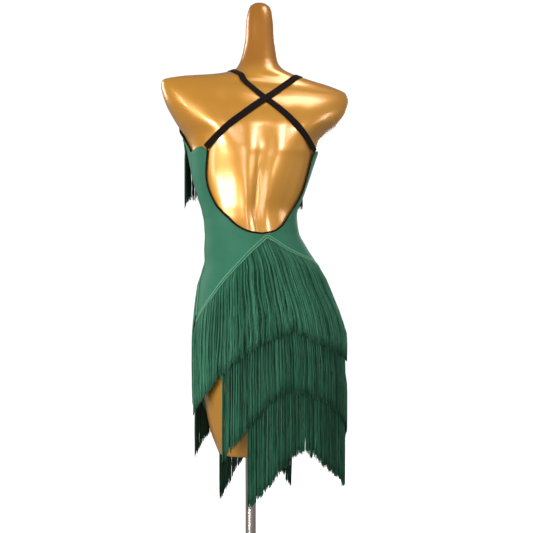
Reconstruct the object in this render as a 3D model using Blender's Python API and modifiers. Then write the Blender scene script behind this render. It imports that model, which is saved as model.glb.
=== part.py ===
"""A Latin dance dress on the limbless display form that it is shown on, in metres, +Z up.

The figure faces -Y, so +X is its left side. The origin is the centre of the stand's underside.
A place on the figure is a height and an angle: 0 degrees is the centre back, 90 the right side,
180 the centre front and -90 the left side. Every cloth piece is made from such places, moved out
from the form by the thickness of what lies under it.
"""

import math
from collections import namedtuple

import bmesh
import bpy
from mathutils import Vector

# Stand
BASE_RADIUS = 0.150
BASE_THICKNESS = 0.010
BASE_EDGE = 0.003
POLE_RADIUS = 0.012
SOCKET_RADIUS = 0.020
SOCKET_HEIGHT = 0.045
SOCKET_CHAMFER = 0.004
FORM_BOTTOM = 0.532

# Cloth, measured out from the form
MESH_GAP = 0.0003
SEAM_GAP = 0.0006
CLOTH_CLEARANCE = 0.0026
CLOTH = 0.0012
PANEL_FACE = CLOTH_CLEARANCE + CLOTH
TAPE_THICKNESS = 0.0012
TAPE_WIDTH = 0.008
TAPE_GAP = 0.0016
BINDING_WIDTH = 0.004
STRAP_WIDTH = 0.015
STRAP_THICKNESS = 0.0015
STRAP_CROSSING_LIFT = 0.0022
FRINGE_THICKNESS = 0.003
FRINGE_LAYER = 0.0048
FRINGE_RAMP = 0.045
LAYER_LEAD = 0.014
LAYER_FADE_DEG = 15.0
FRINGE_START = 0.0030
FRINGE_ROW = 0.0145

# Lengths and levels
SKIRT_FRINGE = 0.200
BUST_FRINGE = 0.142
HIP_LEVEL = 0.785
BUST_LEVEL = 1.215
OPENING_BOTTOM = 1.0225
WING_TOP = 1.2085
SIDE_SEAM = 90.0
SEAM_GAP_DEG = 0.08
STRAP_FRONT_DEG = 29.0
NECK_DEG = 17.0
SHOULDER_ROLL = math.radians(2.4)
ROLL_START = 1.15
ROLL_SPAN = 0.20

# Bust cups of the form: a soft rise on each side of the centre front
CUP_ANGLE = 140.0
CUP_SPREAD_DEG = 28.0
CUP_LEVEL = 1.225
CUP_SPREAD = 0.062
CUP_RISE = 0.021
CUP_EASE = 0.0046

# A shallow channel down the form's back, between the shoulder blades and the waist
BACK_CHANNEL_DEPTH = 0.004
BACK_CHANNEL_DEG = 9.0
BACK_CHANNEL_LEVEL = 1.15
BACK_CHANNEL_SPREAD = 0.12

FORM_STEP_DEG = 10.0
CLOTH_STEP_DEG = 10.0
CLOSEST_ANGLES = 2.0
LOWER_ROWS = 15
FRONT_ROWS = 41
FRONT_ROW_GROWTH = 1.5
WING_COLUMNS = 9
WING_ROWS = 10
WING_ROW_GROWTH = 1.8
LONGEST_RING_STEP = 0.022

Section = namedtuple("Section", "z shift_x shift_y half_width back front squareness")
SECTIONS = (
    Section(0.532, 0.001, 0.010, 0.074, 0.075, 0.068, 2.0),
    Section(0.577, -0.006, 0.010, 0.098, 0.092, 0.080, 2.1),
    Section(0.652, -0.020, 0.010, 0.128, 0.112, 0.090, 2.2),
    Section(0.715, -0.032, 0.010, 0.155, 0.126, 0.096, 2.2),
    Section(0.781, -0.039, 0.010, 0.166, 0.132, 0.100, 2.2),
    Section(0.838, -0.036, 0.010, 0.159, 0.128, 0.100, 2.2),
    Section(0.879, -0.031, 0.008, 0.149, 0.116, 0.098, 2.2),
    Section(0.913, -0.027, 0.006, 0.140, 0.106, 0.096, 2.2),
    Section(0.952, -0.024, 0.003, 0.127, 0.095, 0.090, 2.2),
    Section(0.993, -0.012, 0.000, 0.114, 0.084, 0.084, 2.2),
    Section(1.029, -0.003, 0.000, 0.104, 0.079, 0.080, 2.2),
    Section(1.056, 0.000, 0.000, 0.103, 0.078, 0.080, 2.2),
    Section(1.075, 0.002, 0.000, 0.105, 0.079, 0.082, 2.2),
    Section(1.113, 0.000, 0.000, 0.118, 0.085, 0.092, 2.2),
    Section(1.152, -0.002, 0.000, 0.130, 0.091, 0.102, 2.2),
    Section(1.197, -0.007, 0.000, 0.140, 0.096, 0.110, 2.2),
    Section(1.215, -0.009, 0.000, 0.144, 0.098, 0.110, 2.2),
    Section(1.240, -0.008, 0.001, 0.152, 0.098, 0.105, 2.2),
    Section(1.262, -0.008, 0.002, 0.170, 0.098, 0.099, 2.3),
    Section(1.285, -0.012, 0.003, 0.192, 0.095, 0.089, 2.4),
    Section(1.305, -0.013, 0.004, 0.206, 0.090, 0.081, 2.4),
    Section(1.328, -0.013, 0.004, 0.215, 0.080, 0.072, 2.4),
    Section(1.346, -0.013, 0.004, 0.219, 0.068, 0.062, 2.3),
    Section(1.358, -0.014, 0.003, 0.216, 0.059, 0.055, 2.2),
    Section(1.365, -0.019, 0.002, 0.198, 0.055, 0.052, 2.2),
    Section(1.370, -0.024, 0.001, 0.178, 0.054, 0.051, 2.1),
    Section(1.375, -0.033, 0.000, 0.148, 0.052, 0.050, 2.1),
    Section(1.381, -0.035, -0.001, 0.116, 0.051, 0.050, 2.0),
    Section(1.390, -0.030, -0.001, 0.080, 0.049, 0.049, 2.0),
    Section(1.400, -0.025, -0.002, 0.057, 0.046, 0.046, 2.0),
    Section(1.408, -0.022, -0.003, 0.049, 0.044, 0.044, 2.0),
    Section(1.422, -0.022, -0.003, 0.043, 0.040, 0.040, 2.0),
    Section(1.449, -0.023, -0.004, 0.037, 0.036, 0.036, 2.0),
    Section(1.476, -0.023, -0.004, 0.033, 0.033, 0.033, 2.0),
    Section(1.503, -0.023, -0.004, 0.032, 0.031, 0.031, 2.0),
    Section(1.531, -0.023, -0.004, 0.0275, 0.026, 0.026, 2.0),
    Section(1.544, -0.023, -0.004, 0.0225, 0.0205, 0.0205, 2.0),
    Section(1.551, -0.023, -0.004, 0.013, 0.012, 0.012, 2.0),
)

# The back opening's half-angle at each height
OpeningRow = namedtuple("OpeningRow", "z half_angle")
OPENING = (
    OpeningRow(1.0225, 0.0),
    OpeningRow(1.0260, 11.0),
    OpeningRow(1.0365, 24.0),
    OpeningRow(1.0610, 40.0),
    OpeningRow(1.0905, 55.0),
    OpeningRow(1.1300, 61.5),
    OpeningRow(1.1670, 59.5),
    OpeningRow(1.2100, 56.0),
)

# Edges and tapes as heights by angle
Place = namedtuple("Place", "angle z")
WING_EDGE = (Place(56.0, 1.2075), Place(66.0, 1.2155), Place(90.0, 1.2060))
FRONT_EDGE = (
    Place(90.0, 1.2060),
    Place(98.0, 1.2250),
    Place(110.0, 1.2420),
    Place(125.0, 1.2620),
    Place(142.0, 1.3080),
    Place(155.0, 1.3380),
    Place(162.0, 1.3360),
    Place(170.0, 1.3000),
    Place(180.0, 1.2860),
)
BACK_TAPES = (
    (Place(-89.0, 0.8240), Place(-62.0, 0.8800), Place(-33.0, 0.9500), Place(0.5, 1.0070),
     Place(4.5, 1.0135), Place(8.5, 1.0080), Place(26.0, 0.9810), Place(57.0, 0.9560), Place(89.0, 0.9330)),
    (Place(-47.0, 0.7300), Place(-33.0, 0.7750), Place(1.5, 0.8800), Place(34.0, 0.8530),
     Place(47.0, 0.8280), Place(89.0, 0.7560)),
    (Place(-26.0, 0.6320), Place(-12.0, 0.6720), Place(10.0, 0.7500), Place(35.0, 0.7070),
     Place(60.0, 0.6720), Place(89.0, 0.6500)),
)
FRONT_TAPES = (
    (Place(91.0, 0.9310), Place(125.0, 0.9620), Place(180.0, 1.0150), Place(235.0, 0.9720),
     Place(256.0, 0.9350), Place(269.0, 0.8420)),
    (Place(91.0, 0.7540), Place(125.0, 0.8000), Place(180.0, 0.8700), Place(225.0, 0.7620),
     Place(247.0, 0.7170)),
    (Place(152.0, 0.6280), Place(180.0, 0.7200), Place(211.0, 0.6060)),
)
BUST_TAPE = (Place(127.0, 1.2300), Place(150.0, 1.2460), Place(180.0, 1.2600),
             Place(220.0, 1.2500), Place(247.0, 1.2300))
BACK_HEM = (Place(-90.0, 0.8000), Place(-47.0, 0.7050), Place(-26.0, 0.6080),
            Place(10.0, 0.6500), Place(90.0, 0.6280))
FRONT_HEM = (Place(90.0, 0.6280), Place(152.0, 0.6040), Place(180.0, 0.6300),
             Place(211.0, 0.5830), Place(247.0, 0.6930), Place(270.0, 0.8000))

# A strap's centre line, from the top of one back wing over the other shoulder to the front panel
RoutePoint = namedtuple("RoutePoint", "angle z lift")
RIGHT_STRAP = (
    RoutePoint(-56.5, 1.2130, 0.0),
    RoutePoint(-33.0, 1.2490, 0.0),
    RoutePoint(-11.5, 1.2850, 0.0),
    RoutePoint(-0.5, 1.3200, 1.0),
    RoutePoint(9.5, 1.3540, 0.0),
    RoutePoint(22.0, 1.3765, 0.0),
    RoutePoint(46.0, 1.3850, 0.0),
    RoutePoint(90.0, 1.3890, 0.0),
    RoutePoint(134.0, 1.3850, 0.0),
    RoutePoint(151.0, 1.3660, 0.0),
    RoutePoint(158.0, 1.3415, 0.0),
)
LEFT_STRAP = (
    RoutePoint(56.5, 1.2130, 0.0),
    RoutePoint(28.0, 1.2560, 0.0),
    RoutePoint(12.0, 1.2830, 0.0),
    RoutePoint(0.0, 1.3200, 0.0),
    RoutePoint(-7.0, 1.3510, 0.0),
    RoutePoint(-20.0, 1.3720, 0.0),
    RoutePoint(-42.0, 1.3810, 0.0),
    RoutePoint(-90.0, 1.3915, 0.0),
    RoutePoint(-134.0, 1.3860, 0.0),
    RoutePoint(-151.0, 1.3660, 0.0),
    RoutePoint(-158.0, 1.3415, 0.0),
)
STRAP_STEPS = 44

GREEN_JERSEY = (0.072, 0.255, 0.156)
GREEN_FRINGE = (0.030, 0.135, 0.080)
GREEN_TAPE = (0.110, 0.370, 0.205)
BLACK_ELASTIC = (0.028, 0.019, 0.022)
GOLD = (0.620, 0.330, 0.070)
STEEL = (0.620, 0.580, 0.550)


def make_material(name, colour, roughness, metallic):
    material = bpy.data.materials.new(name)
    material.use_nodes = True
    shader = material.node_tree.nodes["Principled BSDF"]
    shader.inputs["Base Color"].default_value = (*colour, 1.0)
    shader.inputs["Roughness"].default_value = roughness
    shader.inputs["Metallic"].default_value = metallic
    material.diffuse_color = (*colour, 1.0)
    return material


def smooth_value(xs, ys, x):
    """The value at x of a smooth curve through the points that doesn't overshoot between them."""
    x = min(max(x, xs[0]), xs[-1])
    spans = [b - a for a, b in zip(xs, xs[1:])]
    slopes = [(b - a) / span for a, b, span in zip(ys, ys[1:], spans)]
    i = 0
    while i < len(spans) - 1 and x > xs[i + 1]:
        i += 1

    def tangent(k):
        if k in (0, len(spans)):
            return slopes[min(k, len(spans) - 1)]
        before, after = slopes[k - 1], slopes[k]
        if before * after <= 0:
            return 0.0
        weight_before = 2 * spans[k] + spans[k - 1]
        weight_after = spans[k] + 2 * spans[k - 1]
        return (weight_before + weight_after) / (weight_before / before + weight_after / after)

    t = (x - xs[i]) / spans[i]
    start, end = ys[i], ys[i + 1]
    start_slope, end_slope = tangent(i) * spans[i], tangent(i + 1) * spans[i]
    return (
        (2 * t**3 - 3 * t**2 + 1) * start
        + (t**3 - 2 * t**2 + t) * start_slope
        + (3 * t**2 - 2 * t**3) * end
        + (t**3 - t**2) * end_slope
    )


def along(table, key, value, at):
    """The smooth value of one column of a table at a place in its key column."""
    return smooth_value([getattr(row, key) for row in table], [getattr(row, value) for row in table], at)


def height_on(edge, angle):
    return along(edge, "angle", "z", angle)


def power(value, exponent):
    return math.copysign(abs(value) ** exponent, value)


def bell(offset, spread):
    return math.exp(-((offset / spread) ** 2))


def degrees_from_back(angle):
    return abs((angle + 180) % 360 - 180)


def cup_share(z, angle):
    """How far up a bust cup a place is, from 0 to 1."""
    return bell(degrees_from_back(angle) - CUP_ANGLE, CUP_SPREAD_DEG) * bell(z - CUP_LEVEL, CUP_SPREAD)


def body_point(z, angle):
    """The form's surface at a height and an angle in degrees, before the shoulders' tilt is added to z."""
    shift_x, shift_y, half_width, back, front, squareness = (
        along(SECTIONS, "z", name, z) for name in Section._fields[1:]
    )
    turn = math.radians(angle)
    sine, cosine = math.sin(turn), math.cos(turn)
    exponent = 2 / squareness
    x = -half_width * power(sine, exponent)
    y = (back if cosine > 0 else front) * power(cosine, exponent)
    cup = CUP_RISE * cup_share(z, angle)
    channel = BACK_CHANNEL_DEPTH * bell(degrees_from_back(angle), BACK_CHANNEL_DEG)
    channel *= bell(z - BACK_CHANNEL_LEVEL, BACK_CHANNEL_SPREAD)
    stretch = 1 + (cup - channel) / math.hypot(x, y)
    x, y = x * stretch, y * stretch
    rise = min(max((z - ROLL_START) / ROLL_SPAN, 0.0), 1.0)
    rise = rise * rise * (3 - 2 * rise)
    return Vector((shift_x + x, shift_y + y, z + math.tan(SHOULDER_ROLL * rise) * x))


def surface_point(z, angle, out):
    """A point moved straight out from the form's surface, and a little more where cloth spans a cup."""
    if out > 0:
        out += CUP_EASE * cup_share(z, angle)
    across = body_point(z, angle + 0.2) - body_point(z, angle - 0.2)
    up = body_point(z + 0.001, angle) - body_point(z - 0.001, angle)
    return body_point(z, angle) + out * across.cross(up).normalized()


def hanging_point(z, angle, out, level=HIP_LEVEL):
    """A point of cloth that follows the form down to a level and hangs straight below it."""
    point = surface_point(max(z, level), angle, out)
    if z < level:
        point.z = z
    return point


def steps_between(start, end, longest):
    count = max(1, math.ceil(abs(end - start) / longest - 1e-6))
    return [start + (end - start) * i / count for i in range(count + 1)]


def cloth_angles(start, end):
    """The cloth's common angles between two ends, with both ends, so that layers have their edges in line."""
    first = math.ceil((start + CLOSEST_ANGLES) / CLOTH_STEP_DEG)
    last = math.floor((end - CLOSEST_ANGLES) / CLOTH_STEP_DEG)
    return [start] + [CLOTH_STEP_DEG * i for i in range(first, last + 1)] + [end]


def grid_mesh(name, rows, ring=False):
    """A mesh of quads through rows of points, top row first, each row running left to right from outside."""
    mesh = bmesh.new()
    verts = [[mesh.verts.new(point) for point in row] for row in rows]
    columns = len(rows[0])
    for upper, lower in zip(verts, verts[1:]):
        for i in range(columns if ring else columns - 1):
            j = (i + 1) % columns
            mesh.faces.new((upper[i], lower[i], lower[j], upper[j]))
    if ring:
        mesh.faces.new(verts[0])
        mesh.faces.new(reversed(verts[-1]))
    data = bpy.data.meshes.new(name)
    mesh.to_mesh(data)
    mesh.free()
    return data


def add_part(name, data, material, thickness=0.0):
    """Adds a node. A thickness makes an open sheet a wall that grows outwards."""
    data.materials.append(material)
    data.shade_smooth()
    data.set_sharp_from_angle(angle=math.radians(50))
    part = bpy.data.objects.new(name, data)
    PARTS.objects.link(part)
    if thickness:
        solidify = part.modifiers.new("Wall", "SOLIDIFY")
        solidify.thickness = thickness
        solidify.offset = 1.0
    return part


def cylinder(name, radius, bottom, top, material, edge=0.0):
    mesh = bmesh.new()
    bmesh.ops.create_cone(mesh, cap_ends=True, segments=48, radius1=radius, radius2=radius, depth=top - bottom)
    data = bpy.data.meshes.new(name)
    mesh.to_mesh(data)
    mesh.free()
    part = add_part(name, data, material)
    part.location.z = (bottom + top) / 2
    if edge:
        bevel = part.modifiers.new("Edge", "BEVEL")
        bevel.width = edge
        bevel.segments = 2
        bevel.limit_method = "ANGLE"
    return part


def make_socket(material):
    """The collar that holds the pole, turned from its section."""
    bore = POLE_RADIUS + MESH_GAP
    bottom = BASE_THICKNESS + MESH_GAP
    top = bottom + SOCKET_HEIGHT
    profile = (
        (SOCKET_RADIUS - SOCKET_CHAMFER, top),
        (SOCKET_RADIUS, top - SOCKET_CHAMFER),
        (SOCKET_RADIUS, bottom),
        (bore, bottom),
        (bore, top),
    )
    mesh = bmesh.new()
    verts = [mesh.verts.new((radius, 0.0, z)) for radius, z in profile]
    for a, b in zip(verts, verts[1:] + verts[:1]):
        mesh.edges.new((a, b))
    data = bpy.data.meshes.new("base_socket")
    mesh.to_mesh(data)
    mesh.free()
    part = add_part("base_socket", data, material)
    screw = part.modifiers.new("Turn", "SCREW")
    screw.steps = 40
    screw.render_steps = 40
    screw.use_merge_vertices = True
    screw.merge_threshold = 0.00005
    return part


def make_form(material):
    heights = [SECTIONS[0].z]
    for low, high in zip(SECTIONS, SECTIONS[1:]):
        heights += steps_between(low.z, high.z, LONGEST_RING_STEP)[1:]
    angles = [FORM_STEP_DEG * i for i in range(round(360 / FORM_STEP_DEG))]
    rows = [[body_point(z, angle) for angle in angles] for z in reversed(heights)]
    return add_part("form", grid_mesh("form", rows, ring=True), material)


def opening_angle(z):
    return along(OPENING, "z", "half_angle", z)


def sheet_rows(angles, top_edge, bottom_edge, count, out, growth=1.0):
    """Rows of a panel between an upper and a lower edge, each a function of the angle."""
    rows = []
    for i in range(count + 1):
        share = (i / count) ** growth
        rows.append([
            hanging_point(top_edge(a) + (bottom_edge(a) - top_edge(a)) * share, a, out) for a in angles
        ])
    return rows


def opening_edge():
    """The open back's edge as places on the right side, bottom first, one for each row of a wing."""
    places = []
    for row in range(WING_ROWS + 1):
        rise = (row / WING_ROWS) ** WING_ROW_GROWTH
        angle = opening_angle(OPENING_BOTTOM + (WING_TOP - OPENING_BOTTOM) * rise)
        places.append((rise, angle))
    return places


def wing_height(angle, rise):
    return OPENING_BOTTOM + (height_on(WING_EDGE, angle) - OPENING_BOTTOM) * rise


def make_back_panel(material):
    """The lower back from side seam to side seam, with a wing up each side of the open back."""
    out = CLOTH_CLEARANCE
    edge = SIDE_SEAM - SEAM_GAP_DEG
    shares = [i / WING_COLUMNS for i in range(WING_COLUMNS + 1)]
    angles = [-edge * share for share in reversed(shares)] + [edge * share for share in shares[1:]]
    lower = sheet_rows(angles, lambda a: OPENING_BOTTOM, lambda a: height_on(BACK_HEM, a), LOWER_ROWS, out)
    mesh = bmesh.new()
    verts = [[mesh.verts.new(point) for point in row] for row in lower]
    for upper, under in zip(verts, verts[1:]):
        for i in range(len(angles) - 1):
            mesh.faces.new((upper[i], under[i], under[i + 1], upper[i + 1]))
    for side in (-1, 1):
        under = verts[0][: WING_COLUMNS + 1] if side < 0 else verts[0][WING_COLUMNS:]
        for rise, inner in opening_edge()[1:]:
            points = []
            for share in shares:
                angle = inner + (edge - inner) * share
                points.append(surface_point(wing_height(angle, rise), side * angle, out))
            if side < 0:
                points.reverse()
            upper = [mesh.verts.new(point) for point in points]
            for i in range(WING_COLUMNS):
                mesh.faces.new((upper[i], under[i], under[i + 1], upper[i + 1]))
            under = upper
    data = bpy.data.meshes.new("back_panel")
    mesh.to_mesh(data)
    mesh.free()
    return add_part("back_panel", data, material, CLOTH)


def front_angles():
    start = SIDE_SEAM + SEAM_GAP_DEG
    return cloth_angles(start, 360 - start)


def front_edge_height(angle):
    return height_on(FRONT_EDGE, 180 - abs(angle - 180))


def make_front_panel(material):
    rows = sheet_rows(
        front_angles(),
        front_edge_height,
        lambda a: height_on(FRONT_HEM, a),
        FRONT_ROWS,
        CLOTH_CLEARANCE,
        FRONT_ROW_GROWTH,
    )
    return add_part("front_panel", grid_mesh("front_panel", rows), material, CLOTH)


def make_binding(name, places, material):
    """Elastic laid edge to edge along the places of a panel's edge, on the left of the way they run."""
    line = [surface_point(z, angle, CLOTH_CLEARANCE) for angle, z in places]
    near, far = [], []
    for i, (angle, z) in enumerate(places):
        before = line[max(i - 1, 0)]
        after = line[min(i + 1, len(line) - 1)]
        out = (surface_point(z, angle, 1.0) - surface_point(z, angle, 0.0)).normalized()
        aside = out.cross((after - before).normalized())
        near.append(line[i] + aside * SEAM_GAP)
        far.append(line[i] + aside * (SEAM_GAP + BINDING_WIDTH))
    return add_part(name, grid_mesh(name, [far, near]), material, CLOTH)


def make_opening_binding(material):
    """The elastic round the open back."""
    edge = [(angle, wing_height(angle, rise)) for rise, angle in opening_edge()]
    places = [(-angle, z) for angle, z in reversed(edge)] + edge[1:]
    return make_binding("back_binding", places, material)


def make_edge_binding(name, start, end, material):
    """The elastic on one stretch of the front panel's upper edge."""
    places = [(angle, front_edge_height(angle)) for angle in front_angles() if start <= angle <= end]
    return make_binding(name, places, material)


def make_tape(name, edge, material, level=HIP_LEVEL):
    """A fringe's header tape, lying on the panel with its lower edge on the line."""
    angles = cloth_angles(edge[0].angle, edge[-1].angle)
    rows = []
    for rise in (TAPE_WIDTH, 0.0):
        rows.append([
            hanging_point(height_on(edge, a) + rise, a, PANEL_FACE + TAPE_GAP, level) for a in angles
        ])
    return add_part(name, grid_mesh(name, rows), material, TAPE_THICKNESS)


def ease(share):
    share = min(max(share, 0.0), 1.0)
    return share * share * (3 - 2 * share)


def layers_beneath(tapes, z, angle):
    """How many of the fringes on these tapes lie beneath a fringe here."""
    layers = 0.0
    for edge in tapes:
        beyond = max(edge[0].angle - angle, angle - edge[-1].angle, 0.0)
        above = z - height_on(edge, angle) - LAYER_LEAD
        layers += ease(1 - beyond / LAYER_FADE_DEG) * ease(1 - above / FRINGE_RAMP)
    return layers


def make_fringe(name, edge, tapes_beneath, length, material, level=HIP_LEVEL):
    """The reach of a fringe: it lies on the panel, clears each fringe beneath it and hangs to its hem."""
    angles = cloth_angles(edge[0].angle, edge[-1].angle)
    rows = []
    for drop in steps_between(FRINGE_START, length, FRINGE_ROW):
        row = []
        for angle in angles:
            z = height_on(edge, angle) - drop
            out = PANEL_FACE + TAPE_GAP + FRINGE_LAYER * layers_beneath(tapes_beneath, z, angle)
            row.append(hanging_point(z, angle, out, level))
        rows.append(row)
    return add_part(name, grid_mesh(name, rows), material, FRINGE_THICKNESS)


def make_strap(name, route, material):
    """A strap of flat elastic along its route, which lifts the one on top where the two cross."""
    indices = list(range(len(route)))
    last = indices[-1]
    centre, outs = [], []
    for i in range(STRAP_STEPS + 1):
        at = last * i / STRAP_STEPS
        angle = smooth_value(indices, [row.angle for row in route], at)
        z = smooth_value(indices, [row.z for row in route], at)
        lift = smooth_value(indices, [row.lift for row in route], at)
        out = PANEL_FACE + TAPE_GAP + STRAP_CROSSING_LIFT * lift
        centre.append(surface_point(z, angle, out))
        outs.append((surface_point(z, angle, 1.0) - surface_point(z, angle, 0.0)).normalized())
    left, right = [], []
    for i, (point, out) in enumerate(zip(centre, outs)):
        run = (centre[min(i + 1, STRAP_STEPS)] - centre[max(i - 1, 0)]).normalized()
        across = run.cross(out).normalized() * (STRAP_WIDTH / 2)
        left.append(point - across)
        right.append(point + across)
    return add_part(name, grid_mesh(name, [left, right]), material, STRAP_THICKNESS)


def build():
    jersey = make_material("green_jersey", GREEN_JERSEY, 0.62, 0.0)
    fringe = make_material("green_fringe", GREEN_FRINGE, 0.55, 0.0)
    tape = make_material("green_tape", GREEN_TAPE, 0.60, 0.0)
    elastic = make_material("black_elastic", BLACK_ELASTIC, 0.75, 0.0)
    gold = make_material("gold_form", GOLD, 0.18, 0.85)
    steel = make_material("stand_steel", STEEL, 0.15, 1.0)

    cylinder("base_plate", BASE_RADIUS, 0.0, BASE_THICKNESS, steel, BASE_EDGE)
    make_socket(steel)
    cylinder("pole", POLE_RADIUS, BASE_THICKNESS + MESH_GAP, FORM_BOTTOM - MESH_GAP, steel)
    make_form(gold)
    make_back_panel(jersey)
    make_front_panel(jersey)
    make_opening_binding(elastic)
    make_edge_binding("armhole_binding_right", SIDE_SEAM, 180 - STRAP_FRONT_DEG, elastic)
    make_edge_binding("neck_binding", 180 - NECK_DEG, 180 + NECK_DEG, elastic)
    make_edge_binding("armhole_binding_left", 180 + STRAP_FRONT_DEG, 360 - SIDE_SEAM, elastic)
    make_strap("strap_right", RIGHT_STRAP, elastic)
    make_strap("strap_left", LEFT_STRAP, elastic)
    for side, tapes in (("back", BACK_TAPES), ("front", FRONT_TAPES)):
        for i, edge in enumerate(tapes):
            make_tape(f"{side}_tape_{i + 1}", edge, tape)
            make_fringe(f"{side}_fringe_{i + 1}", edge, tapes[i + 1:], SKIRT_FRINGE, fringe)
    make_tape("bust_tape", BUST_TAPE, tape, BUST_LEVEL)
    make_fringe("bust_fringe", BUST_TAPE, (), BUST_FRINGE, fringe, BUST_LEVEL)


for old in list(bpy.data.objects):
    bpy.data.objects.remove(old, do_unlink=True)
PARTS = bpy.data.collections.new("latin_dance_dress")
bpy.context.scene.collection.children.link(PARTS)
build()
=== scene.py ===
"""The looks of a Latin dance dress on its display form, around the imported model, in metres."""

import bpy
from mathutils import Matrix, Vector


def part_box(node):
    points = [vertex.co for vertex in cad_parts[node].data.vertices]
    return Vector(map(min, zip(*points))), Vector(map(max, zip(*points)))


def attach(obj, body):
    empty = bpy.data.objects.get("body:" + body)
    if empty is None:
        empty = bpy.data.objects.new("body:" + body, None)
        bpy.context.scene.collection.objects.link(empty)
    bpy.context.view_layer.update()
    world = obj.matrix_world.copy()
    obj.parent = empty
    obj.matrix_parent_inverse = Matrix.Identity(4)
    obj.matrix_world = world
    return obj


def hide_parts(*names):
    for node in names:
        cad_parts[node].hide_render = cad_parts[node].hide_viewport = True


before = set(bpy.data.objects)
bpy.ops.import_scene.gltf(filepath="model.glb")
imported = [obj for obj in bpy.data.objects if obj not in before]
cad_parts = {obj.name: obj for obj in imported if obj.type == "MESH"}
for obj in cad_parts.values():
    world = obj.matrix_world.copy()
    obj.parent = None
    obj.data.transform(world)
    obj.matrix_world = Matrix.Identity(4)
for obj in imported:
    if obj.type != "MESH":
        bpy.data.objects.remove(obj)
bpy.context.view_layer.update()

import math
from collections import namedtuple

import bpy
import numpy as np
from mathutils import Vector

# Camera
VIEW_TURN = math.radians(15.0)
CAMERA_DISTANCE = 2.5
CAMERA_HEIGHT = 0.952
CAMERA_ASIDE = 0.036
CAMERA_LENS = 74.3

# The measures of the form and the dress, as the part's source has them
CLOTH_CLEARANCE = 0.0026
CLOTH = 0.0012
PANEL_FACE = CLOTH_CLEARANCE + CLOTH
TAPE_GAP = 0.0016
TAPE_WIDTH = 0.008
BINDING_WIDTH = 0.004
SEAM_GAP = 0.0006
STRAP_WIDTH = 0.015
STRAP_THICKNESS = 0.0015
STRAP_CROSSING_LIFT = 0.0022
FRINGE_LAYER = 0.0048
FRINGE_RAMP = 0.045
LAYER_LEAD = 0.014
LAYER_FADE_DEG = 15.0
SKIRT_FRINGE = 0.200
BUST_FRINGE = 0.142
HIP_LEVEL = 0.785
BUST_LEVEL = 1.215
OPENING_BOTTOM = 1.0225
WING_TOP = 1.2085
SIDE_SEAM = 90.0
SEAM_GAP_DEG = 0.08
STRAP_FRONT_DEG = 29.0
NECK_DEG = 17.0
SHOULDER_ROLL = math.radians(2.4)
ROLL_START = 1.15
ROLL_SPAN = 0.20
CUP_ANGLE = 140.0
CUP_SPREAD_DEG = 28.0
CUP_LEVEL = 1.225
CUP_SPREAD = 0.062
CUP_RISE = 0.021
CUP_EASE = 0.0046
BACK_CHANNEL_DEPTH = 0.004
BACK_CHANNEL_DEG = 9.0
BACK_CHANNEL_LEVEL = 1.15
BACK_CHANNEL_SPREAD = 0.12

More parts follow.
